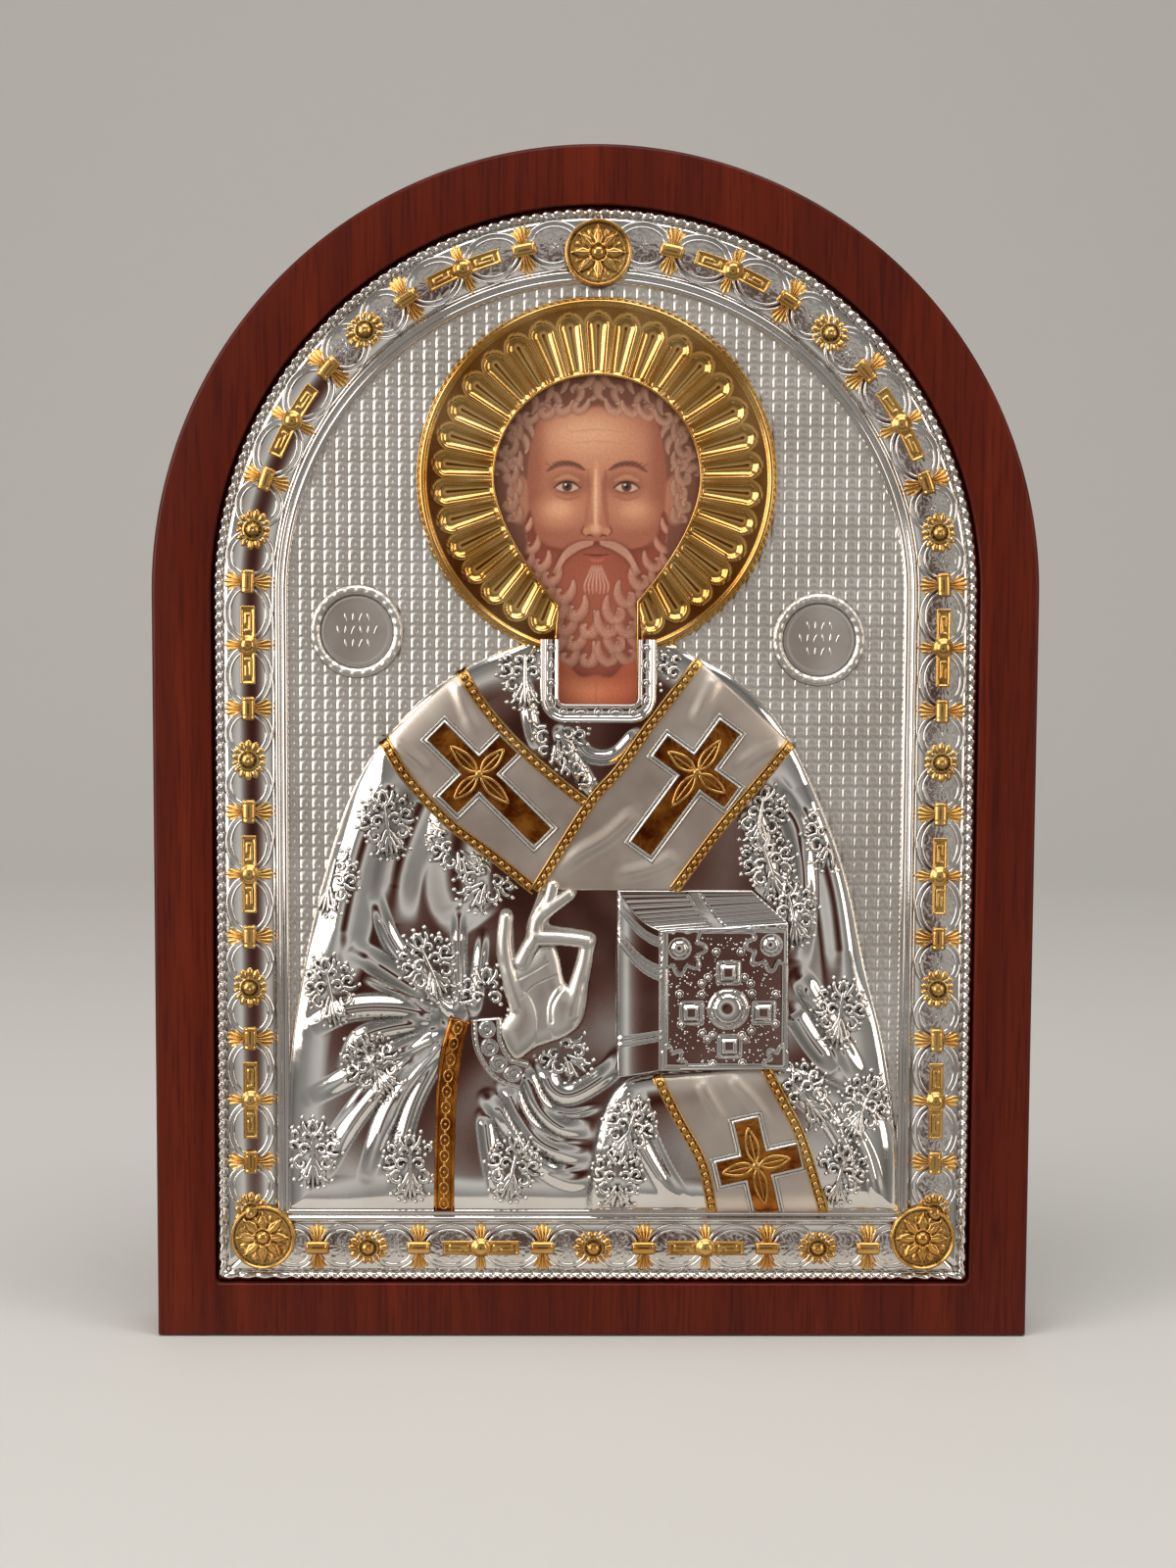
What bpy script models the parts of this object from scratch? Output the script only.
"""Icon panel: an arched wooden panel, a painted board in its recess and a pressed metal cover over it.

X runs to the right seen from the front, the front faces -Y and Z is up. The origin is in the middle of
the panel's underside. Lengths are metres. The robed figure is drawn in figure units, FIGURE_UNITS to
its height, so it keeps its pose and carving when its height changes.
"""
import math

import bmesh
import bpy
import numpy as np
from mathutils.geometry import delaunay_2d_cdt

# Wooden panel
PANEL_WIDTH = 0.200
PANEL_HEIGHT = 0.270
PANEL_THICKNESS = 0.020
PANEL_EDGE_ROUND = 0.001
RIM_WIDTH = 0.01325
RIM_WIDTH_BOTTOM = 0.0122
RECESS_DEPTH = 0.005
RECESS_CORNER = 0.0015

# Painted board and pressed sheet
BOARD_THICKNESS = 0.0012
SHEET_THICKNESS = 0.0010
FACE_GAP = 0.0003
SIDE_CLEARANCE = 0.0004

# Border of the cover, from its edge inwards
BEAD_WIDTH = 0.0020
BEAD_HEIGHT = 0.0012
BAND_WIDTH = 0.0118
BAND_EDGE_HEIGHT = 0.0004
BAND_CROWN = 0.0010
MOULDING_WIDTH = 0.0032
MOULDING_HEIGHT = 0.0017

# Rhythm of the ornaments along the band
FIRST_CLASP = 0.0166
LAST_CLASP = 0.0179
SIDE_PERIODS = 4.5
BOTTOM_HALF_PERIODS = 1.466
RHYTHM = (("clasp", 0.0), ("cross", 0.275), ("clasp", 0.55), ("sunflower", 0.775))
BOTTOM_RHYTHM = (("clasp", 0.225), ("cross", 0.5), ("clasp", 0.775), ("sunflower", 1.0), ("clasp", 1.225))
CLASP_LENGTH = 0.0044
CLASP_ACROSS = 0.0060
CROSS_ACROSS = 0.0088
CROSS_LENGTH = 0.0175
CROSS_BAR = 0.0030
SUNFLOWER_RADIUS = 0.0044
ORNAMENT_HEIGHT = 0.0009
RING_ACROSS = 0.0104
RING_HEIGHT = 0.0005

# Rosettes at the top and in the corners
ROSETTE_RADIUS = 0.0076
ROSETTE_HEIGHT = 0.0024
ROSETTE_PETALS = 8
ROSETTE_TOP_INSET = 0.0102
ROSETTE_SIDE_INSET = 0.01055
ROSETTE_BOTTOM_INSET = 0.0104

# Halo and window
HALO_RADIUS = 0.0406
HALO_RIM = 0.0021
HALO_RIM_HEIGHT = 0.0021
HALO_PLATE_HEIGHT = 0.0013
HALO_TOP_GAP = 0.00265
FLUTES_TO_A_CIRCLE = 34
FLUTE_LENGTH = 0.0146
FLUTE_DEPTH = 0.0009
FLUTE_RIDGE = 0.0003
WINDOW_RADIUS = 0.0234
WINDOW_DROP = 0.0370
WINDOW_DROP_POWER = 1.7

# Medallions on each side of the halo
MEDALLION_RADIUS = 0.0106
MEDALLION_RIM = 0.0026
MEDALLION_RIM_HEIGHT = 0.0014
MEDALLION_DISC_HEIGHT = 0.0007
MEDALLION_LEFT = (-0.0540, 0.1321)
MEDALLION_RIGHT = (0.0504, 0.1307)

# Robed figure
FIGURE_HEIGHT = 0.128
FIGURE_UNITS = 128.0

# Rounding of curves into straight steps
ARCH_STEPS = 48
CURVE_STEPS = 3

# Levels worked out from the sizes above, measured along Y
FRONT_Y = -PANEL_THICKNESS / 2
RECESS_FLOOR_Y = FRONT_Y + RECESS_DEPTH
BOARD_BACK_Y = RECESS_FLOOR_Y - FACE_GAP
BOARD_FRONT_Y = BOARD_BACK_Y - BOARD_THICKNESS
COVER_BACK_Y = BOARD_FRONT_Y - FACE_GAP
FIELD_Y = COVER_BACK_Y - SHEET_THICKNESS

# Outlines worked out from the sizes above
SPRING_Z = PANEL_HEIGHT - PANEL_WIDTH / 2
COVER_HALF = PANEL_WIDTH / 2 - RIM_WIDTH - SIDE_CLEARANCE
COVER_BOTTOM = RIM_WIDTH_BOTTOM + SIDE_CLEARANCE
COVER_CORNER = RECESS_CORNER - SIDE_CLEARANCE
BORDER_WIDTH = BEAD_WIDTH + BAND_WIDTH + MOULDING_WIDTH
BAND_INSET = BEAD_WIDTH + BAND_WIDTH / 2
HEM_Z = COVER_BOTTOM + BORDER_WIDTH
UNIT = FIGURE_HEIGHT / FIGURE_UNITS
HALO_Z = SPRING_Z + COVER_HALF - BORDER_WIDTH - HALO_TOP_GAP - HALO_RADIUS

# Outline of the robe, from the left end of the hem over the shoulders to the right end
ROBE_OUTLINE = (
    (-70.5, -1), (-70, 30), (-67.5, 50), (-63.5, 70), (-58, 89), (-52.7, 101), (-46, 110), (-37.8, 118.5),
    (-28, 124.8), (-19, 128.7), (-11.8, 130.5), (14.4, 130.5), (21, 127.5), (33, 121), (43, 110),
    (51.6, 92.7), (57.9, 74.8), (62.5, 54), (67, 35.7), (69.9, 14.6), (70.5, -1),
)
ROBE_EDGE = 9.0
ROBE_RISE = 3.0

# Draped left forearm and hand, a rounded mound under the book
MOUND_OUTLINE = (
    (-1, -1), (0.5, 12), (2.2, 21), (5.5, 28), (11, 31), (23, 32.1), (37, 33.6), (46, 33),
    (54, 30.3), (63, 25.2), (69.5, 18), (71, -1),
)
MOUND_EDGE = 7.0
MOUND_RISE = 2.0

# Folds of the robe: half width, height and the crest's path
FOLDS = (
    (3.2, 0.9, ((-31, 45), (-43.7, 53.3), (-55.5, 61))),
    (2.2, 0.9, ((-31.5, 45.6), (-39.2, 53.3), (-46, 62), (-50, 72))),
    (1.8, 0.8, ((-30.6, 45.6), (-31, 57), (-30.8, 68.8))),
    (1.6, 0.6, ((-27.5, 46), (-26.3, 55.5), (-25.4, 63.6))),
    (3.0, 1.2, ((-34.7, 44.7), (-45, 47), (-56, 46.5), (-64.3, 42))),
    (2.4, 0.8, ((-35, 43.8), (-46, 42.5), (-53, 40), (-56.5, 34))),
    (2.6, 1.0, ((-34, 42.6), (-45, 37), (-56, 31), (-64.7, 26))),
    (2.4, 1.0, ((-33.6, 42), (-43, 34), (-54, 22), (-62, 8))),
    (2.4, 1.0, ((-32.7, 41.5), (-40.3, 33), (-47, 23), (-52, 8))),
    (2.2, 0.9, ((-32, 41), (-38.5, 30.7), (-42.5, 21), (-45.5, 6))),
    (7.0, 1.3, ((-44, 102), (-53, 85), (-57, 66), (-60, 50))),
    (6.0, -0.9, ((-38, 96), (-44, 80), (-46, 66))),
    (8.0, 0.8, ((-30, 92), (-31, 74), (-26, 66))),
    (2.6, 1.0, ((-11.6, 33), (-9.1, 28.2), (-4.7, 27.3), (3, 32), (6, 36))),
    (2.6, 1.0, ((-16, 32.5), (-12.6, 24.4), (-7.5, 19.6), (-1, 19))),
    (2.8, 1.0, ((-20, 29), (-17, 22.3), (-12, 16), (-5, 13.2), (-1, 13.5))),
    (2.6, 0.8, ((-24.3, 26), (-19, 19), (-13, 11), (-6, 7), (-1, 7.5))),
    (2.2, 0.7, ((-25, 22), (-23.6, 11.9), (-20.5, 0))),
    (3.4, 1.1, ((39.8, 97), (45.5, 88), (47.5, 74), (46, 58))),
    (3.0, 0.9, ((35, 92), (38, 83), (39, 72))),
    (6.0, 1.2, ((47, 98), (54, 80), (57, 62), (58, 46))),
    (3.0, 0.9, ((46.9, 54), (54, 42), (61, 30))),
    (3.0, 0.9, ((45.5, 46), (50, 39), (55, 33))),
    (2.4, 0.8, ((8, 26), (9.2, 19.4), (13.8, 10.3), (19.5, 2.3))),
    (2.6, 0.9, ((45, 29), (53, 22), (59.5, 10), (61.5, 0))),
    (2.2, 0.8, ((56, 24), (62.1, 14), (65.7, 1))),
    (1.8, 0.7, ((-15.9, 120), (-14.8, 112.4), (-13.2, 106))),
    (1.8, 0.7, ((-8.5, 110), (-3.5, 101), (-0.2, 95.5))),
    (1.6, 0.6, ((9, 109.5), (4, 104.5), (-1.5, 104.5), (-5, 108.5))),
)

# Stole: each strap runs between two braids
STRAP_RISE = 0.9
STRAP_EDGE = 0.7
BRAID_HALF = 1.2
BRAID_RISE = 0.7
STRAPS = (
    (((-30.9, 123.3), (-23.0, 113.5), (-18.1, 110), (-9.6, 101.5), (-0.2, 92.4), (-6, 84)),
     ((-48, 107.8), (-42.7, 99.5), (-33.5, 89.5), (-24.2, 82.4), (-13.6, 73.9))),
    (((23.4, 126), (11.8, 110.8), (5.3, 101.3), (-1.5, 93.3), (-13.6, 73.9)),
     ((44.2, 107.4), (36.4, 98), (27.9, 87.8), (17.8, 74.1))),
    (((14.2, 31.6), (19, 22.1), (24.6, 11.6), (27.4, -1)),
     ((39, 33.4), (43, 25.7), (47.2, 17.3), (53, -1))),
)

# Crosses on the stole: centre, the way the long arm points, and arms: long, across left and right, short
CROSS_HALF = 2.6
CROSS_FRAME = 1.5
CROSS_FRAME_RISE = 0.5
CROSS_PETAL_RISE = 0.45
CROSSES = (
    ((-26.3, 100.2), (0.711, -0.703), (20.0, 9.6, 9.3, 13.5)),
    ((22.8, 100.8), (-0.586, -0.810), (21.2, 10.0, 9.5, 12.4)),
    ((37.0, 11.2), (0.232, -0.973), (16.0, 8.6, 9.9, 10.7)),
)

# Creases of the stole: half width, height and path
CREASES = (
    (2.2, 0.5, ((-31.4, 121), (-29.5, 115), (-26.9, 109.3))),
    (2.2, 0.5, ((-46, 107), (-41.5, 104), (-37.6, 100.4))),
    (2.6, 0.6, ((26.8, 122), (25, 118), (22, 111.3))),
    (2.4, 0.5, ((42.5, 107.5), (37, 105.5), (31.3, 101.3))),
    (2.4, 0.6, ((9.1, 92), (2.5, 86), (-4, 82), (-9, 77))),
    (2.4, 0.5, ((18.4, 82), (12, 79), (4, 77))),
    (2.0, 0.5, ((24, 30.5), (27, 25), (30, 20))),
    (2.0, 0.5, ((31, 31.5), (36, 26), (40, 20.5))),
)

# Collar round the neck opening
COLLAR_CENTRE = 0.5
COLLAR_OPENING_HALF = 8.9
COLLAR_HALF = 13.1
COLLAR_OPENING_BOTTOM = 116.1
COLLAR_BOTTOM = 111.5
COLLAR_RISE = 0.9

# Book: spine, front cover and the page block seen on top, as corners
BOOK_SPINE_FOOT = (5.3, 31.2)
BOOK_SPINE_HEAD = (5.1, 73.9)
BOOK_FRONT_FOOT = (15.1, 33.0)
BOOK_FRONT_HEAD = (14.9, 65.0)
BOOK_FAR_FOOT = (44.0, 33.4)
BOOK_FAR_HEAD = (43.6, 66.8)
BOOK_BACK_HEAD = (35.6, 73.9)
BOOK_RISE = 2.6
BOOK_LOW_RISE = 1.1
BOOK_WALL = 0.5
BOOK_DOME_CENTRE = (30.2, 47.2)
BOOK_DOME_RADIUS = 4.2
BOOK_DOME_RISE = 1.1
BOOK_GEM_REACH = 8.2
BOOK_GEM_HALF = 2.4
BOOK_GEM_RISE = 0.8

# Blessing hand: fingers as round ridges (radius and path) and the palm as a rounded oval
FINGERS = (
    (1.8, ((-19.9, 67), (-20.6, 61.8), (-19.2, 56), (-16.5, 49))),
    (1.7, ((-14.2, 65.5), (-11.6, 72.2), (-9.8, 75))),
    (1.6, ((-13.8, 65), (-12.8, 68.4), (-9.7, 70.8), (-6.4, 72.8))),
    (1.7, ((-17, 56), (-13.3, 63.4), (-7, 63.1), (-2.4, 62.3))),
    (1.9, ((-6.5, 45.5), (-4.4, 52.5), (-2.8, 57.8), (-1.9, 61.2))),
)
HAND_RISE = 1.5
PALM_CENTRE = (-11.6, 47.5)
PALM_ACROSS = 8.2
PALM_ALONG = 11.5
PALM_TURN = -0.30

# Cuff and sleeve stripe
CUFF_PATH = ((-25.3, 44), (-25.4, 38), (-22, 32.2), (-17.5, 30))
CUFF_HALF = 3.6
CUFF_RISE = 1.6
STRIPE_PATH = ((-30.6, 44), (-32.4, 37), (-33.6, 27), (-34.1, 12), (-34.3, -1))
STRIPE_HALF = 2.3
STRIPE_RISE = 0.9

# A line that marks the top of a step lies this far inside it, in figure units
LINE_MARGIN = 0.15

# Spacing of loose points on plain rounded areas, in figure units
LOOSE_SPACING = 8.0
LOOSE_CLEAR = 3.0
MILLIMETRE = 0.001


def pillow(share):
    """Quarter-round rise: 0 at share 0, 1 from share 1 on."""
    rest = 1 - np.clip(share, 0, 1)
    return np.sqrt(1 - rest * rest)


def bump(share):
    """Smooth ridge section: 1 on the crest, 0 from share 1 on."""
    return (1 - np.clip(np.abs(share), 0, 1) ** 2) ** 2


def ramp(share):
    """Straight rise from 0 to 1."""
    return np.clip(share, 0, 1)


def smooth_path(points, steps=CURVE_STEPS):
    """A curve through the points: each stretch is a cubic whose slopes follow the points beside it."""
    p = np.array(points, float)
    padded = np.vstack([2 * p[0] - p[1], p, 2 * p[-1] - p[-2]])
    t = np.linspace(0, 1, steps, endpoint=False)[:, None]
    runs = []
    for a, b, c, d in zip(padded, padded[1:], padded[2:], padded[3:]):
        slope = (c - a) * t
        bend = (2 * a - 5 * b + 4 * c - d) * t ** 2
        turn = (3 * b - a - 3 * c + d) * t ** 3
        runs.append(b + (slope + bend + turn) / 2)
    return np.vstack(runs + [p[-1:]])


def nearest(x, z, path):
    """Distance from each point to a path, and the share of the path's length at its nearest place."""
    start = path[:-1]
    step = path[1:] - start
    length = np.hypot(step[:, 0], step[:, 1])
    dx = x[:, None] - start[:, 0]
    dz = z[:, None] - start[:, 1]
    along = np.clip((dx * step[:, 0] + dz * step[:, 1]) / length ** 2, 0, 1)
    gap = np.hypot(dx - along * step[:, 0], dz - along * step[:, 1])
    best = gap.argmin(axis=1)
    rows = np.arange(len(x))
    run = np.concatenate([[0], np.cumsum(length)])
    return gap[rows, best], (run[best] + along[rows, best] * length[best]) / run[-1]


def inside(x, z, loop):
    """True where a point lies in the closed loop: a ray from it crosses the loop an odd number of times."""
    ax, az = loop[:, 0], loop[:, 1]
    bx, bz = np.roll(ax, -1), np.roll(az, -1)
    spans = (az > z[:, None]) != (bz > z[:, None])
    rise = np.where(bz == az, 1.0, bz - az)
    cross = (bx - ax) * (z[:, None] - az) / rise + ax
    return (spans & (x[:, None] < cross)).sum(axis=1) % 2 == 1


def closed(points):
    """A loop that repeats its first point at its end."""
    return np.vstack([points, points[:1]])


def depth_inside(x, z, loop):
    """How far a point lies inside a closed loop, and 0 outside it."""
    return np.where(inside(x, z, loop), nearest(x, z, closed(loop))[0], 0.0)


def beside(path, offset):
    """The path moved sideways to its left by an offset."""
    way = np.gradient(path, axis=0)
    way = way / np.hypot(way[:, 0], way[:, 1])[:, None]
    return path + offset * np.column_stack([-way[:, 1], way[:, 0]])


def circle(centre, radius, count, turn=0.0):
    """Points on a circle, closed by repeating the first."""
    angle = turn + np.arange(count + 1) % count * 2 * math.pi / count
    return np.column_stack([centre[0] + radius * np.cos(angle), centre[1] + radius * np.sin(angle)])


def arch_outline(half_width, bottom, corner=0.0, steps=ARCH_STEPS):
    """Loop of an arched board: a half circle on straight sides, with rounded lower corners."""
    angle = np.linspace(0, math.pi, steps + 1)
    points = [np.column_stack([half_width * np.cos(angle), SPRING_Z + half_width * np.sin(angle)])]
    for side, first in ((-1, math.pi), (1, 1.5 * math.pi)):
        if corner > 0:
            turn = first + np.linspace(0, math.pi / 2, CURVE_STEPS + 1)
            points.append(np.column_stack([side * (half_width - corner) + corner * np.cos(turn),
                                           bottom + corner + corner * np.sin(turn)]))
        else:
            points.append(np.array([[side * half_width, bottom]]))
    return np.vstack(points)


def cover_inset_loop(inset):
    """The cover's outline moved inwards, with the same number of points at every inset."""
    corner = max(COVER_CORNER - inset, 0.0)
    return arch_outline(COVER_HALF - inset, COVER_BOTTOM + inset, corner)


def edge_distance(x, z):
    """Distance inwards from the cover's outline: to the arch above the spring line, else to the sides."""
    from_arch = COVER_HALF - np.hypot(x, z - SPRING_Z)
    from_side = COVER_HALF - np.abs(x)
    return np.minimum(np.where(z > SPRING_Z, from_arch, from_side), z - COVER_BOTTOM)


# Border of the cover

def band_places():
    """Every ornament of the band: its kind, place, way along the band and way outwards, and every ring."""
    radius = COVER_HALF - BAND_INSET
    quarter = radius * math.pi / 2
    band_z = COVER_BOTTOM + BAND_INSET
    side_length = quarter + SPRING_Z - band_z
    period = (side_length - FIRST_CLASP - LAST_CLASP) / SIDE_PERIODS
    side_runs = []
    for turn in range(math.ceil(SIDE_PERIODS)):
        for kind, share in RHYTHM:
            if turn + share < SIDE_PERIODS + 0.1:
                side_runs.append((kind, FIRST_CLASP + (turn + share) * period))
    corner_x = COVER_HALF - ROSETTE_SIDE_INSET
    bottom_period = corner_x / BOTTOM_HALF_PERIODS
    bottom_runs = [("sunflower", 0.0)]
    for kind, share in BOTTOM_RHYTHM:
        bottom_runs.append((kind, share * bottom_period))

    def on_side(side, run):
        if run < quarter:
            angle = run / radius
            out = (side * math.sin(angle), math.cos(angle))
            along = (side * math.cos(angle), -math.sin(angle))
            return (out[0] * radius, SPRING_Z + out[1] * radius), along, out
        return (side * radius, SPRING_Z - (run - quarter)), (0.0, -1.0), (float(side), 0.0)

    def on_bottom(side, run):
        return (side * run, band_z), (float(side), 0.0), (0.0, -1.0)

    ornaments, rings = [], []
    for side in (-1, 1):
        for place, runs in ((on_side, side_runs), (on_bottom, bottom_runs)):
            for kind, run in runs:
                if run > 0 or side > 0:
                    ornaments.append((kind, *place(side, run)))
            for (_, here), (_, after) in zip(runs, runs[1:]):
                rings.append(((after - here) / 2, *place(side, (here + after) / 2)))
    return ornaments, rings


def local(x, z, centre, along):
    """Coordinates along and across a small ornament."""
    dx, dz = x - centre[0], z - centre[1]
    return dx * along[0] + dz * along[1], -dx * along[1] + dz * along[0]


def ornament_share(kind, a, b):
    """Height share of one ornament at distances a along and b across the band."""
    soft = ORNAMENT_HEIGHT
    if kind == "clasp":
        return ramp(np.minimum((CLASP_LENGTH / 2 - np.abs(a)) / soft, (CLASP_ACROSS / 2 - np.abs(b)) / soft))
    if kind == "sunflower":
        return pillow((SUNFLOWER_RADIUS - np.hypot(a, b)) / SUNFLOWER_RADIUS)
    bar = np.minimum((CROSS_LENGTH / 2 - np.abs(a)) / soft, (CROSS_BAR / 2 - np.abs(b)) / soft)
    arm = np.minimum((CROSS_BAR / 2 - np.abs(a)) / soft, (CROSS_ACROSS / 2 - np.abs(b)) / soft)
    return ramp(np.maximum(bar, arm))


def border_height(x, z, ornaments, rings):
    """Bead row, convex band with its ornaments, and double moulding, by distance from the edge."""
    inset = edge_distance(x, z)
    across = inset - BAND_INSET
    band_share = 1 - (2 * across / BAND_WIDTH) ** 2
    bead = BEAD_HEIGHT * bump(2 * inset / BEAD_WIDTH - 1)
    band = BAND_EDGE_HEIGHT + BAND_CROWN * ramp(band_share)
    moulding_share = (inset - BEAD_WIDTH - BAND_WIDTH) / MOULDING_WIDTH
    moulding = MOULDING_HEIGHT * np.minimum(pillow(4 * moulding_share), pillow(4 * (1 - moulding_share)))
    raised = np.zeros_like(x)
    for half, centre, along, _ in rings:
        a, b = local(x, z, centre, along)
        oval = np.hypot(a / half, b / (RING_ACROSS / 2))
        raised = np.maximum(raised, RING_HEIGHT * bump((oval - 0.9) / 0.25))
    for kind, centre, along, _ in ornaments:
        a, b = local(x, z, centre, along)
        raised = np.maximum(raised, ORNAMENT_HEIGHT * ornament_share(kind, a, b))
    height = np.where(inset < BEAD_WIDTH, bead, band + raised)
    return np.where(inset > BEAD_WIDTH + BAND_WIDTH, np.maximum(moulding, 0), height)


def ornament_lines(ornaments, rings):
    """Foot and shoulder lines of the band's ornaments, and the crest of each ring."""
    lines, dots = [], []
    soft = ORNAMENT_HEIGHT
    for half, centre, along, out in rings:
        oval = circle((0, 0), 1.0, 8, math.pi / 8)
        lines.append(placed(oval * (half * 0.9, RING_ACROSS / 2 * 0.9), centre, along, out))
        dots.append(np.array([centre]))
    for kind, centre, along, out in ornaments:
        if kind == "sunflower":
            lines.append(placed(circle((0, 0), SUNFLOWER_RADIUS, 8), centre, along, out))
            lines.append(placed(circle((0, 0), SUNFLOWER_RADIUS / 2, 8, math.pi / 8), centre, along, out))
            dots.append(np.array([centre]))
        elif kind == "clasp":
            for shrink in (0, soft):
                box = rectangle(CLASP_LENGTH / 2 - shrink, CLASP_ACROSS / 2 - shrink)
                lines.append(placed(box, centre, along, out))
        else:
            for shrink in (0, soft):
                lines.append(placed(plus(CROSS_LENGTH / 2 - shrink, CROSS_ACROSS / 2 - shrink,
                                         CROSS_BAR / 2 - shrink), centre, along, out))
    return lines, dots


def placed(points, centre, along, out):
    """Points given along and across a small ornament, put in their place."""
    return np.array(centre) + points[:, :1] * np.array(along) + points[:, 1:] * np.array(out)


def rectangle(half_a, half_b):
    """Closed rectangle about the origin."""
    corners = np.array([(-half_a, -half_b), (half_a, -half_b), (half_a, half_b), (-half_a, half_b)])
    return closed(corners)


def plus(arm_a, arm_b, half):
    """Closed cross about the origin with arms along both axes."""
    quarter = np.array([(arm_a, -half), (arm_a, half), (half, half)])
    second = np.array([(half, arm_b), (-half, arm_b), (-half, half)])
    return closed(np.vstack([quarter, second, -quarter, -second]))


def rosette_places():
    """Centres of the top rosette and the two corner rosettes."""
    top = (0.0, SPRING_Z + COVER_HALF - ROSETTE_TOP_INSET)
    corner_z = COVER_BOTTOM + ROSETTE_BOTTOM_INSET
    return [top] + [(side * (COVER_HALF - ROSETTE_SIDE_INSET), corner_z) for side in (-1, 1)]


def rosette_height(x, z, centre):
    """Rim, eight pointed petals round a dome; below zero outside the rosette."""
    radius = np.hypot(x - centre[0], z - centre[1]) / ROSETTE_RADIUS
    petal = np.abs(np.cos(np.arctan2(z - centre[1], x - centre[0]) * ROSETTE_PETALS / 2))
    rim = bump((radius - 0.9) / 0.12)
    petals = 0.75 * petal * bump((radius - 0.5) / 0.3)
    dome = bump(radius / 0.3)
    height = ROSETTE_HEIGHT * (0.5 + 0.5 * np.maximum(np.maximum(rim * 0.6, petals), dome))
    return np.where(radius < 1.0, height, -1.0)


def rosette_lines(centre):
    """Rim circles, petal crests and valleys, and the dome."""
    half_petal = math.pi / ROSETTE_PETALS
    lines = [circle(centre, ROSETTE_RADIUS * share, 16) for share in (1.0, 0.9, 0.78)]
    lines.append(circle(centre, ROSETTE_RADIUS * 0.5, 2 * ROSETTE_PETALS, 0.0))
    lines.append(circle(centre, ROSETTE_RADIUS * 0.26, ROSETTE_PETALS, half_petal))
    return lines, [np.array([centre])]


# Halo, window and medallions

def window_loop(steps=13):
    """Opening for the head: a half circle, sides that draw in down to the neck or the collar, and the neck."""
    angle = np.linspace(0, math.pi, 2 * steps)
    top = np.column_stack([WINDOW_RADIUS * np.cos(angle), HALO_Z + WINDOW_RADIUS * np.sin(angle)])
    neck_left = (COLLAR_CENTRE - COLLAR_OPENING_HALF) * UNIT
    neck_right = (COLLAR_CENTRE + COLLAR_OPENING_HALF) * UNIT
    neck_z = HEM_Z + COLLAR_OPENING_BOTTOM * UNIT

    def side_points(neck):
        neck_share = (1 - abs(neck) / WINDOW_RADIUS) ** (1 / WINDOW_DROP_POWER)
        collar_share = (HALO_Z - neck_z) / WINDOW_DROP
        drop = np.linspace(0, min(neck_share, collar_share), steps)[1:]
        width = WINDOW_RADIUS * (1 - drop ** WINDOW_DROP_POWER)
        return np.column_stack([math.copysign(1, neck) * width, HALO_Z - WINDOW_DROP * drop])

    left = side_points(neck_left)
    right = side_points(neck_right)[::-1]
    neck = np.array([(neck_left, neck_z), (neck_right, neck_z)])
    return np.vstack([top, left, neck, right])


def window_reach(angle, loop):
    """The window's edge as a distance from the halo's centre, by angle."""
    edge_angle = np.arctan2(loop[:, 1] - HALO_Z, loop[:, 0])
    order = np.argsort(edge_angle)
    reach = np.hypot(loop[:, 0], loop[:, 1] - HALO_Z)
    return np.interp(angle, edge_angle[order], reach[order], period=2 * math.pi)


def halo_height(x, z, loop):
    """Raised rim, flat ring, and flutes with rounded outer ends; 0 outside the halo."""
    radius = np.hypot(x, z - HALO_Z)
    angle = np.arctan2(z - HALO_Z, x)
    rim = pillow((HALO_RADIUS - radius) / (HALO_RIM / 2))
    rim_fall = pillow((radius - HALO_RADIUS + HALO_RIM) / (HALO_RIM / 2))
    rim_height = HALO_PLATE_HEIGHT + (HALO_RIM_HEIGHT - HALO_PLATE_HEIGHT) * rim_fall
    turn = (angle - math.pi / 2) * FLUTES_TO_A_CIRCLE / (2 * math.pi)
    across = np.abs(turn - np.round(turn)) * 2
    outer = HALO_RADIUS - HALO_RIM
    inner = np.maximum(outer - FLUTE_LENGTH, window_reach(angle, loop))
    ends = ramp((outer - radius) / (FLUTE_LENGTH * 0.1)) * ramp((radius - inner) / (FLUTE_LENGTH * 0.1) + 0.5)
    fluted = HALO_PLATE_HEIGHT + ends * (FLUTE_RIDGE * across - FLUTE_DEPTH * (1 - across))
    height = np.where(radius > outer, np.minimum(rim * HALO_RIM_HEIGHT, rim_height), fluted)
    return np.where(radius < HALO_RADIUS, height, 0.0)


def halo_lines(loop):
    """Rim circles, and for each flute the middle of its groove and the ridge beside it."""
    centre = (0.0, HALO_Z)
    count = 2 * FLUTES_TO_A_CIRCLE
    lines = [circle(centre, HALO_RADIUS - HALO_RIM * share, count) for share in (0, 0.35, 0.65, 1)]
    outer = HALO_RADIUS - HALO_RIM
    for index in range(2 * FLUTES_TO_A_CIRCLE):
        angle = math.pi / 2 + index * math.pi / FLUTES_TO_A_CIRCLE
        inner = max(outer - FLUTE_LENGTH, float(window_reach(angle, loop)))
        reach = np.array([outer - FLUTE_LENGTH * 0.12, inner + FLUTE_LENGTH * 0.06])
        lines.append(np.column_stack([reach * math.cos(angle), HALO_Z + reach * math.sin(angle)]))
    return lines


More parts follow.
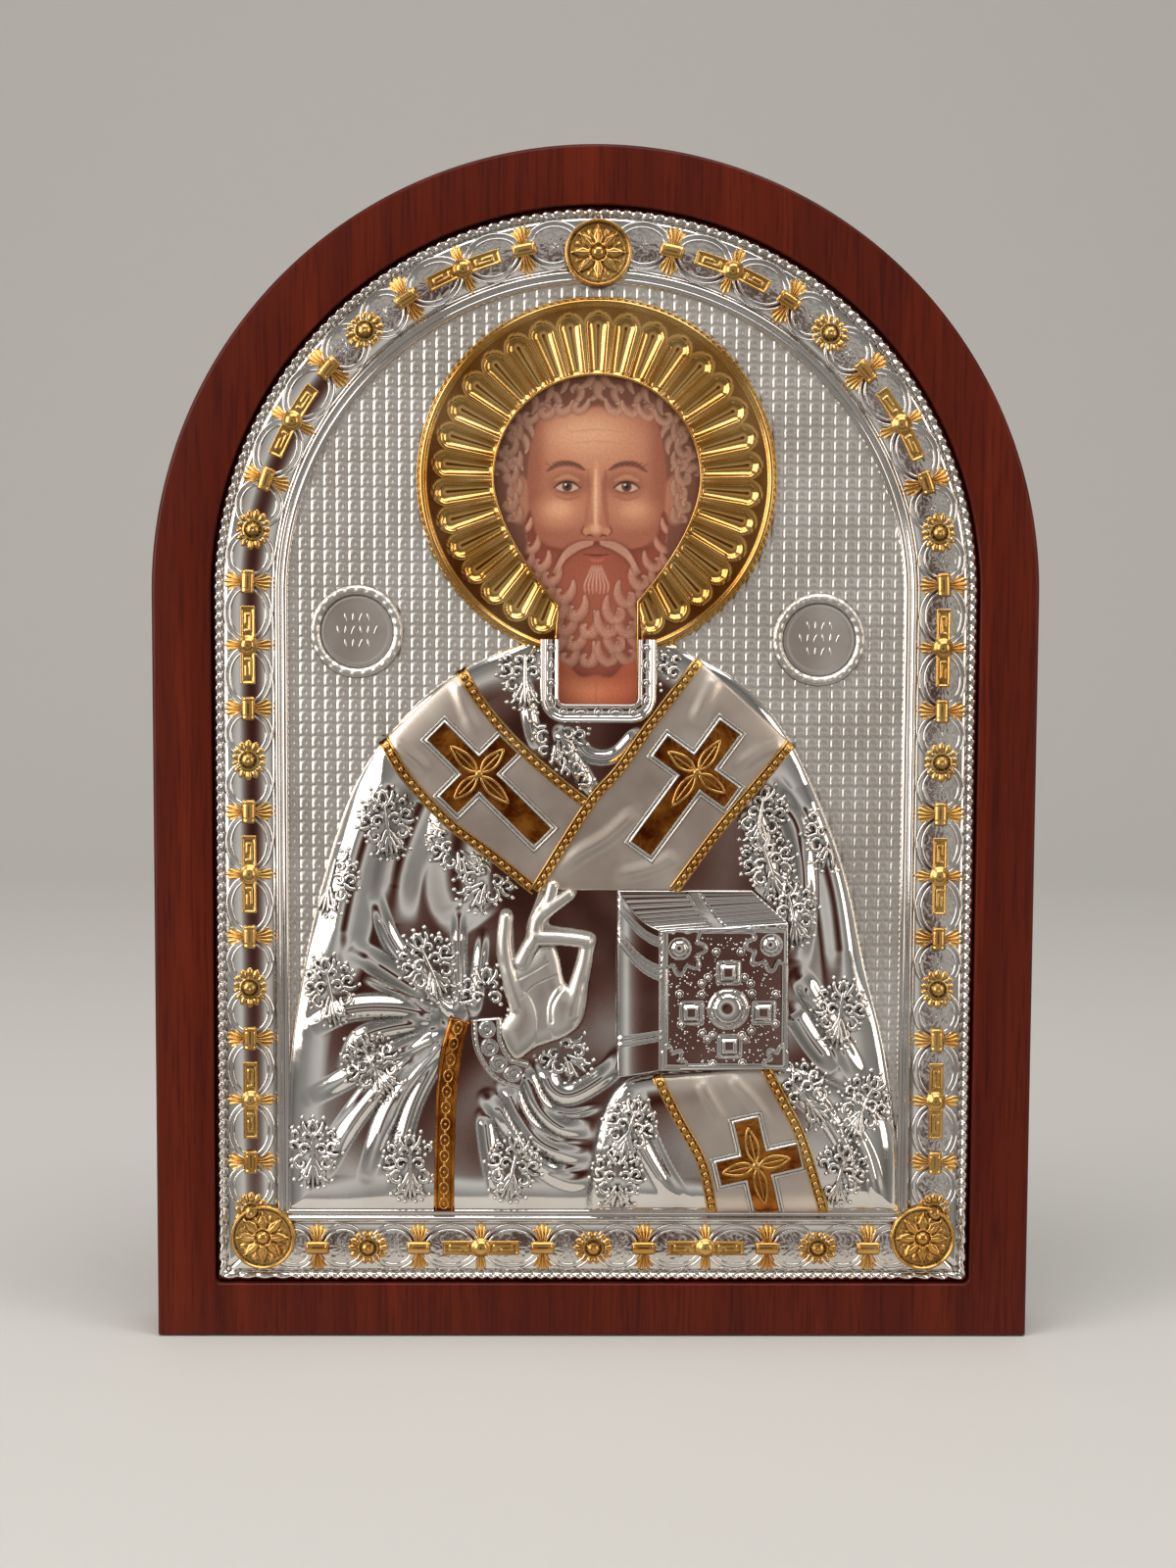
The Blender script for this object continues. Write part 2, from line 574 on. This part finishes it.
def medallion_height(x, z, centre):
    """Round rim about a flat disc; 0 outside."""
    radius = np.hypot(x - centre[0], z - centre[1])
    inner = MEDALLION_RADIUS - MEDALLION_RIM
    rim = MEDALLION_RIM_HEIGHT * pillow((MEDALLION_RADIUS - radius) / (MEDALLION_RIM / 2))
    fall = pillow((radius - inner) / (MEDALLION_RIM / 2))
    down = MEDALLION_DISC_HEIGHT + (MEDALLION_RIM_HEIGHT - MEDALLION_DISC_HEIGHT) * fall
    return np.where(radius < MEDALLION_RADIUS, np.minimum(rim, down), 0.0)


def medallion_places():
    """Centres of the two medallions, measured up from the hem."""
    return [(x, HEM_Z + lift) for x, lift in (MEDALLION_LEFT, MEDALLION_RIGHT)]


# Robed figure, in figure units from the middle of its hem

def robe_base(x, z):
    """The robe without folds: quarter-round edges, and the rounded mound of the draped left arm."""
    depth = depth_inside(x, z, smooth_path(ROBE_OUTLINE))
    mound = depth_inside(x, z, smooth_path(MOUND_OUTLINE))
    base = ROBE_RISE * pillow(depth / ROBE_EDGE)
    return base + MOUND_RISE * pillow(mound / MOUND_EDGE), depth


def add_ridges(height, x, z, ridges):
    """Adds each fold: a smooth ridge along its path that fades at both ends."""
    for half, rise, points in ridges:
        gap, along = nearest(x, z, smooth_path(points))
        fade = ramp(along / 0.12 + 0.25) * ramp((1 - along) / 0.3 + 0.1)
        height = height + rise * bump(gap / half) * fade
    return height


def strap_loop(strap):
    """Outline of a strap, down one braid and back up the other."""
    inner, outer = (smooth_path(points) for points in strap)
    return np.vstack([inner, outer[::-1]])


def cross_outline(arms, grow):
    """A cross about the origin, its long arm along +a, grown by a margin on every side."""
    long_arm, right, left, short = arms
    half = CROSS_HALF + grow
    points = [(long_arm + grow, -half), (long_arm + grow, half), (half, half), (half, left + grow),
              (-half, left + grow), (-half, half), (-short - grow, half), (-short - grow, -half),
              (-half, -half), (-half, -right - grow), (half, -right - grow), (half, -half)]
    return np.array(points, float)


def cross_points(cross, grow):
    """The outline of a cross in its place on the stole."""
    centre, way, arms = cross
    side = (-way[1], way[0])
    return placed(cross_outline(arms, grow), centre, way, side)


def cross_height(x, z, cross):
    """Raised frame round a flat cross, with a petal along each arm."""
    centre, way, arms = cross
    outer = depth_inside(x, z, cross_points(cross, CROSS_FRAME))
    frame = CROSS_FRAME_RISE * bump((outer - CROSS_FRAME / 2) / (CROSS_FRAME / 2))
    a, b = local(x, z, centre, way)
    reach = np.where(np.abs(a) > np.abs(b), np.abs(a), np.abs(b))
    width = np.minimum(np.abs(a), np.abs(b))
    petal = CROSS_PETAL_RISE * ramp(1 - width / 1.6) * ramp((7.5 - reach) / 3)
    return np.where(outer > 0, np.where(outer < CROSS_FRAME, frame, petal), 0.0)


def book_faces():
    """Corner loops of the spine, front cover and page block."""
    spine = (BOOK_SPINE_FOOT, BOOK_FRONT_FOOT, BOOK_FRONT_HEAD, BOOK_SPINE_HEAD)
    front = (BOOK_FRONT_FOOT, BOOK_FAR_FOOT, BOOK_FAR_HEAD, BOOK_FRONT_HEAD)
    pages = (BOOK_FRONT_HEAD, BOOK_FAR_HEAD, BOOK_BACK_HEAD, BOOK_SPINE_HEAD)
    return [np.array(face) for face in (spine, front, pages)]


def book_outline():
    """Silhouette of the book."""
    right = (BOOK_FAR_FOOT, BOOK_FAR_HEAD, BOOK_BACK_HEAD)
    return np.array((BOOK_SPINE_FOOT, BOOK_FRONT_FOOT, *right, BOOK_SPINE_HEAD))


def book_height(x, z):
    """Flat front cover, spine that rounds away to the left, page block that slopes back; below 0 outside."""
    spine, front, pages = book_faces()
    along_spine = ramp((x - BOOK_SPINE_FOOT[0]) / (BOOK_FRONT_FOOT[0] - BOOK_SPINE_FOOT[0]))
    spine_height = BOOK_LOW_RISE + (BOOK_RISE - BOOK_LOW_RISE) * pillow(along_spine)
    up_pages = ramp((z - BOOK_FRONT_HEAD[1]) / (BOOK_SPINE_HEAD[1] - BOOK_FRONT_HEAD[1]))
    page_height = BOOK_RISE - (BOOK_RISE - BOOK_LOW_RISE) * up_pages
    a, b = x - BOOK_DOME_CENTRE[0], z - BOOK_DOME_CENTRE[1]
    dome = BOOK_DOME_RISE * pillow((BOOK_DOME_RADIUS - np.hypot(a, b)) / BOOK_DOME_RADIUS)
    gem_reach = np.maximum(np.abs(a), np.abs(b)) - BOOK_GEM_REACH
    gem_side = np.minimum(np.abs(a), np.abs(b))
    gem = BOOK_GEM_RISE * ramp(1.3 * (1 - np.maximum(np.abs(gem_reach), gem_side) / BOOK_GEM_HALF))
    height = np.where(inside(x, z, pages), page_height, BOOK_RISE + np.maximum(dome, gem))
    height = np.where(inside(x, z, spine), spine_height, height)
    wall = ramp(depth_inside(x, z, book_outline()) / BOOK_WALL)
    return np.where(wall > 0, height * wall, -1.0)


def book_lines():
    """Silhouette, its top edge just inside, the joints between the faces, the dome and the gems."""
    outline = book_outline()
    middle = outline.mean(axis=0)
    top = middle + (outline - middle) * (1 - 2 * BOOK_WALL / 40)
    lines = [closed(outline), closed(top)]
    lines.append(np.array((top[1], BOOK_FRONT_HEAD, top[5])))
    lines.append(np.array((BOOK_FRONT_HEAD, top[3])))
    lines.append(circle(BOOK_DOME_CENTRE, BOOK_DOME_RADIUS, 12))
    lines.append(circle(BOOK_DOME_CENTRE, BOOK_DOME_RADIUS * 0.55, 8))
    dots = [np.array([BOOK_DOME_CENTRE])]
    for angle in np.arange(4) * math.pi / 2:
        gem = np.array(BOOK_DOME_CENTRE) + BOOK_GEM_REACH * np.array((math.cos(angle), math.sin(angle)))
        lines.append(gem + rectangle(BOOK_GEM_HALF, BOOK_GEM_HALF))
        dots.append(np.array([gem]))
    return lines, dots


def palm_share(x, z):
    """Distance from the middle of the palm, 1 on its edge."""
    along = (-math.sin(PALM_TURN), math.cos(PALM_TURN))
    a, b = local(x, z, PALM_CENTRE, along)
    return np.hypot(a / PALM_ALONG, b / PALM_ACROSS)


def hand_height(x, z):
    """The highest of the palm's rounded oval and the fingers' round ridges; below 0 outside the hand."""
    share = palm_share(x, z)
    height = np.where(share < 1, HAND_RISE + 0.6 * pillow((1 - share) * 2), -1.0)
    for radius, points in FINGERS:
        gap, _ = nearest(x, z, smooth_path(points))
        finger = HAND_RISE + radius * (pillow(1 - gap / radius) - 0.3)
        height = np.maximum(height, np.where(gap < radius, finger, -1.0))
    return height


def hand_lines():
    """The palm's edge, and each finger's crest and two sides."""
    along = (-math.sin(PALM_TURN), math.cos(PALM_TURN))
    side = (-along[1], along[0])
    oval = circle((0, 0), 1.0, 14) * (PALM_ALONG * 0.97, PALM_ACROSS * 0.97)
    lines = [placed(oval, PALM_CENTRE, along, side)]
    lines.append(placed(oval * 1.06, PALM_CENTRE, along, side))
    for radius, points in FINGERS:
        path = smooth_path(points, 2)
        left, right = beside(path, radius * 0.95), beside(path, -radius * 0.95)
        lines += [path, closed(np.vstack([left, right[::-1]]))]
    return lines


def figure_height(x, z):
    """The whole figure in figure units: robe and folds, stole, crosses, collar, stripe, cuff, book, hand."""
    base, depth = robe_base(x, z)
    height = add_ridges(base, x, z, FOLDS)
    for strap in STRAPS:
        across = depth_inside(x, z, strap_loop(strap))
        strap_top = add_ridges(base, x, z, CREASES) + STRAP_RISE * ramp(across / STRAP_EDGE)
        height = np.where(across > 0, strap_top, height)
        for points in strap:
            gap, _ = nearest(x, z, smooth_path(points))
            braid = base + STRAP_RISE + BRAID_RISE * pillow(1 - gap / BRAID_HALF)
            height = np.where(gap < BRAID_HALF, braid, height)
    for cross in CROSSES:
        height = height + cross_height(x, z, cross)
    gap, _ = nearest(x, z, smooth_path(STRIPE_PATH))
    height = np.maximum(height, np.where(gap < STRIPE_HALF, base + STRIPE_RISE, height))
    gap, _ = nearest(x, z, smooth_path(CUFF_PATH))
    height = np.where(gap < CUFF_HALF, base + CUFF_RISE * pillow((CUFF_HALF - gap) / CUFF_HALF * 3), height)
    in_collar = (np.abs(x - COLLAR_CENTRE) < COLLAR_HALF) & (z > COLLAR_BOTTOM)
    height = np.where(in_collar, np.maximum(ROBE_RISE + COLLAR_RISE, height), height)
    book = book_height(x, z)
    height = np.where(book > 0, np.maximum(ROBE_RISE + book, height), height)
    hand = hand_height(x, z)
    height = np.where(hand > 0, np.maximum(ROBE_RISE + hand, height), height)
    return np.where(depth > 0, height * ramp(depth / 0.4), 0.0)


def figure_lines():
    """Every line of the figure's carving that the faceted surface has to keep."""
    outline = smooth_path(ROBE_OUTLINE)
    lines = [outline] + [beside(outline, -share * ROBE_EDGE) for share in (0.12, 0.45, 1.0)]
    mound = smooth_path(MOUND_OUTLINE, 2)
    lines += [mound] + [beside(mound, -share * MOUND_EDGE) for share in (0.12, 0.45)]
    for half, _, points in FOLDS:
        path = smooth_path(points, 2)
        lines += [path, beside(path, 0.8 * half), beside(path, -0.8 * half)]
    straps = [strap_loop(strap) for strap in STRAPS]
    covers = straps + [book_outline()]
    lines = [run for line in lines for run in outside_runs(line, covers)]
    for strap in STRAPS:
        for points in strap:
            path = smooth_path(points, 2)
            lines += [path, beside(path, BRAID_HALF * 0.98), beside(path, -BRAID_HALF * 0.98)]
    for cross in CROSSES:
        for grow in (CROSS_FRAME, CROSS_FRAME / 2, 0.0):
            lines.append(closed(cross_points(cross, grow)))
        centre, way, arms = cross
        lines.append(placed(np.array([(-6, 0), (0, 0), (6, 0)]), centre, way, (-way[1], way[0])))
        lines.append(placed(np.array([(0, -6), (0, 0), (0, 6)]), centre, way, (-way[1], way[0])))
    for path, half in ((STRIPE_PATH, STRIPE_HALF), (CUFF_PATH, CUFF_HALF)):
        middle = smooth_path(path, 2)
        left, right = beside(middle, half - LINE_MARGIN), beside(middle, LINE_MARGIN - half)
        lines.append(closed(np.vstack([left, right[::-1]])))
    lines.append(collar_outer())
    more, dots = book_lines()
    return lines + more + hand_lines(), dots


def collar_outer():
    """Outer edge of the collar, open at its top."""
    half, bottom, top = COLLAR_HALF - LINE_MARGIN, COLLAR_BOTTOM + LINE_MARGIN, FIGURE_UNITS + 3
    left, right = COLLAR_CENTRE - half, COLLAR_CENTRE + half
    return np.array([(left, top), (left, bottom), (right, bottom), (right, top)])


def outside_runs(line, covers):
    """The stretches of a line that no covering outline hides."""
    hidden = np.zeros(len(line), bool)
    for loop in covers:
        hidden |= inside(line[:, 0], line[:, 1], loop)
    runs, run = [], []
    for point, gone in zip(line, hidden):
        if gone:
            runs.append(run)
            run = []
        else:
            run.append(point)
    runs.append(run)
    return [np.array(points) for points in runs if len(points) > 1]


def cover_height(x, z, window, ornaments, rings):
    """Height of the whole cover above its field, in metres."""
    height = halo_height(x, z, window)
    for centre in medallion_places():
        height = np.maximum(height, medallion_height(x, z, centre))
    figure = figure_height(x / UNIT, (z - HEM_Z) / UNIT) * UNIT
    height = np.where(figure > 0, figure, height)
    inset = edge_distance(x, z)
    height = height * ramp((inset - BORDER_WIDTH) / SHEET_THICKNESS)
    height = np.where(inset < BORDER_WIDTH, border_height(x, z, ornaments, rings), height)
    for centre in rosette_places():
        rosette = rosette_height(x, z, centre)
        height = np.where(rosette > 0, rosette, height)
    return height


def loose_points(taken):
    """A six-sided grid of points over the robe, kept clear of the carving's own lines."""
    rows = []
    row_step = LOOSE_SPACING * math.sqrt(3) / 2
    for row in range(int(FIGURE_UNITS / row_step) + 1):
        shift = LOOSE_SPACING / 2 * (row % 2)
        xs = np.arange(-70, 70, LOOSE_SPACING) + shift
        rows.append(np.column_stack([xs, np.full_like(xs, 2 + row * row_step)]))
    grid = np.vstack(rows)
    grid = grid[inside(grid[:, 0], grid[:, 1], smooth_path(ROBE_OUTLINE))]
    gaps = np.hypot(grid[:, None, 0] - taken[:, 0], grid[:, None, 1] - taken[:, 1]).min(axis=1)
    return grid[gaps > LOOSE_CLEAR]


def triangulate(lines, dots):
    """Triangles that keep every line, worked out in millimetres; returns points in metres and faces."""
    points, edges = [], []
    for line in lines:
        first = len(points)
        points += [tuple(point / MILLIMETRE) for point in line]
        edges += [(first + index, first + index + 1) for index in range(len(line) - 1)]
    for group in dots:
        points += [tuple(point / MILLIMETRE) for point in group]
    result = delaunay_2d_cdt(points, edges, [], 0, 0.02)
    return np.array(result[0]) * MILLIMETRE, np.array(result[2])


def boundary_edges(faces):
    """Edges that only one triangle uses, in that triangle's direction."""
    edges = np.vstack([faces[:, [0, 1]], faces[:, [1, 2]], faces[:, [2, 0]]])
    known = {tuple(edge) for edge in edges.tolist()}
    return [edge for edge in edges.tolist() if (edge[1], edge[0]) not in known]


def build_cover():
    """The pressed cover: its carved front, a flat back, and walls round its outline and its window."""
    window = window_loop()
    ornaments, rings = band_places()
    outline = cover_inset_loop(0.0)
    insets = (BEAD_WIDTH / 2, BEAD_WIDTH, BAND_INSET, BEAD_WIDTH + BAND_WIDTH)
    moulding = BEAD_WIDTH + BAND_WIDTH
    insets += (moulding + MOULDING_WIDTH / 4, moulding + MOULDING_WIDTH * 3 / 4, BORDER_WIDTH)
    insets += (BORDER_WIDTH + SHEET_THICKNESS,)
    lines = [closed(outline), closed(window)] + [closed(cover_inset_loop(inset)) for inset in insets]
    more, dots = ornament_lines(ornaments, rings)
    lines += more
    for centre in rosette_places():
        more, marks = rosette_lines(centre)
        lines += more
        dots += marks
    figure_loop = smooth_path(ROBE_OUTLINE) * UNIT + (0, HEM_Z)
    for line in halo_lines(window):
        lines += outside_runs(line, [figure_loop, window])
    for centre in medallion_places():
        for share in (0, 0.5, 1.0):
            lines.append(circle(centre, MEDALLION_RADIUS - MEDALLION_RIM * share, 20))
    drawn, marks = figure_lines()
    taken = np.vstack(drawn + marks)
    marks.append(loose_points(taken))
    hem = (0, HEM_Z)
    field = cover_inset_loop(BORDER_WIDTH - MOULDING_WIDTH / 8)
    for line in drawn:
        lines += [run for run in inside_runs(line * UNIT + hem, field)]
    for group in marks:
        group = group * UNIT + hem
        dots.append(group[inside(group[:, 0], group[:, 1], field)])
    flat, faces = triangulate(lines, dots)
    middle = flat[faces].mean(axis=1)
    keep = inside(middle[:, 0], middle[:, 1], outline) & ~inside(middle[:, 0], middle[:, 1], window)
    faces = faces[keep]
    used = np.unique(faces)
    renumber = np.full(len(flat), -1)
    renumber[used] = np.arange(len(used))
    flat, faces = flat[used], renumber[faces]
    height = cover_height(flat[:, 0], flat[:, 1], window, ornaments, rings)
    front = np.column_stack([flat[:, 0], FIELD_Y - height, flat[:, 1]])
    return closed_relief(front, faces, outline, window)


def inside_runs(line, loop):
    """The stretches of a line that lie in a loop."""
    kept = inside(line[:, 0], line[:, 1], loop)
    runs, run = [], []
    for point, good in zip(line, kept):
        if good:
            run.append(point)
        else:
            runs.append(run)
            run = []
    runs.append(run)
    return [np.array(points) for points in runs if len(points) > 1]


def closed_relief(front, faces, outline, window):
    """Closes a carved front: straight walls down from its edges, and a flat back between them."""
    rim = boundary_edges(faces)
    rim_points = sorted({index for edge in rim for index in edge})
    behind = {index: len(front) + place for place, index in enumerate(rim_points)}
    back = front[rim_points].copy()
    back[:, 1] = COVER_BACK_Y
    solid = faces.tolist()
    for first, second in rim:
        solid.append((second, first, behind[first]))
        solid.append((second, behind[first], behind[second]))
    flat = [tuple(front[index][[0, 2]] / MILLIMETRE) for index in rim_points]
    place = {index: number for number, index in enumerate(rim_points)}
    edges = [(place[first], place[second]) for first, second in rim]
    result = delaunay_2d_cdt(flat, edges, [], 0, 1e-6)
    back_faces = np.array(result[2])
    source = np.array([group[0] for group in result[3]])
    middle = np.array(result[0])[back_faces].mean(axis=1) * MILLIMETRE
    keep = inside(middle[:, 0], middle[:, 1], outline) & ~inside(middle[:, 0], middle[:, 1], window)
    for a, b, c in (source[back_faces[keep]] + len(front)).tolist():
        solid.append((c, b, a))
    return np.vstack([front, back]), solid


# Objects

def clear_scene():
    """Removes whatever the opened file holds."""
    for item in list(bpy.data.objects):
        bpy.data.objects.remove(item, do_unlink=True)


def material(name, colour, roughness, metallic):
    """A plain finish with its colour, roughness and metallic value."""
    finish = bpy.data.materials.new(name)
    finish.use_nodes = True
    shader = finish.node_tree.nodes["Principled BSDF"]
    shader.inputs["Base Color"].default_value = (*colour, 1.0)
    shader.inputs["Roughness"].default_value = roughness
    shader.inputs["Metallic"].default_value = metallic
    return finish


def new_object(name, mesh, finish):
    """Puts a mesh into the scene under its name."""
    thing = bpy.data.objects.new(name, mesh)
    bpy.context.scene.collection.objects.link(thing)
    mesh.materials.append(finish)
    return thing


def extruded(name, loop, back_y, front_y, finish, front_round=0.0):
    """A flat board: a loop in X and Z carried from its back to its front, the front edge rounded."""
    work = bmesh.new()
    back = [work.verts.new((x, back_y, z)) for x, z in loop]
    face = work.faces.new(back)
    grown = bmesh.ops.extrude_face_region(work, geom=[face])["geom"]
    moved = [item for item in grown if isinstance(item, bmesh.types.BMVert)]
    for vert in moved:
        vert.co.y = front_y
    bmesh.ops.recalc_face_normals(work, faces=work.faces)
    if front_round > 0:
        edges = [edge for edge in work.edges if all(abs(vert.co.y - front_y) < 1e-9 for vert in edge.verts)]
        bmesh.ops.bevel(work, geom=edges, offset=front_round, segments=3, profile=0.5, affect="EDGES",
                        clamp_overlap=True)
    mesh = bpy.data.meshes.new(name)
    work.to_mesh(mesh)
    work.free()
    return new_object(name, mesh, finish)


def make_wooden_panel():
    """Arched panel with a rounded front edge and a blind recess cut into its front."""
    finish = material("stained mahogany", (0.095, 0.014, 0.007), 0.33, 0.0)
    panel = extruded("wooden_panel", arch_outline(PANEL_WIDTH / 2, 0.0), -FRONT_Y, FRONT_Y, finish,
                     PANEL_EDGE_ROUND)
    recess = arch_outline(PANEL_WIDTH / 2 - RIM_WIDTH, RIM_WIDTH_BOTTOM, RECESS_CORNER)
    cutter = extruded("recess_cutter", recess, RECESS_FLOOR_Y, FRONT_Y - RECESS_DEPTH, finish)
    cutter.hide_render = True
    cutter.display_type = "WIRE"
    cut = panel.modifiers.new("recess", "BOOLEAN")
    cut.operation = "DIFFERENCE"
    cut.solver = "EXACT"
    cut.object = cutter
    return panel


def make_painted_board():
    """Thin board with the painted picture, on the floor of the recess."""
    finish = material("painted picture", (0.45, 0.19, 0.10), 0.5, 0.0)
    return extruded("painted_board", cover_inset_loop(0.0), BOARD_BACK_Y, BOARD_FRONT_Y, finish)


def make_silver_cover():
    """The pressed silver and gilt cover."""
    finish = material("silver and gilt sheet", (0.80, 0.78, 0.74), 0.25, 1.0)
    points, faces = build_cover()
    mesh = bpy.data.meshes.new("silver_cover")
    mesh.from_pydata(points.tolist(), [], faces)
    mesh.update()
    return new_object("silver_cover", mesh, finish)


clear_scene()
make_wooden_panel()
make_painted_board()
make_silver_cover()
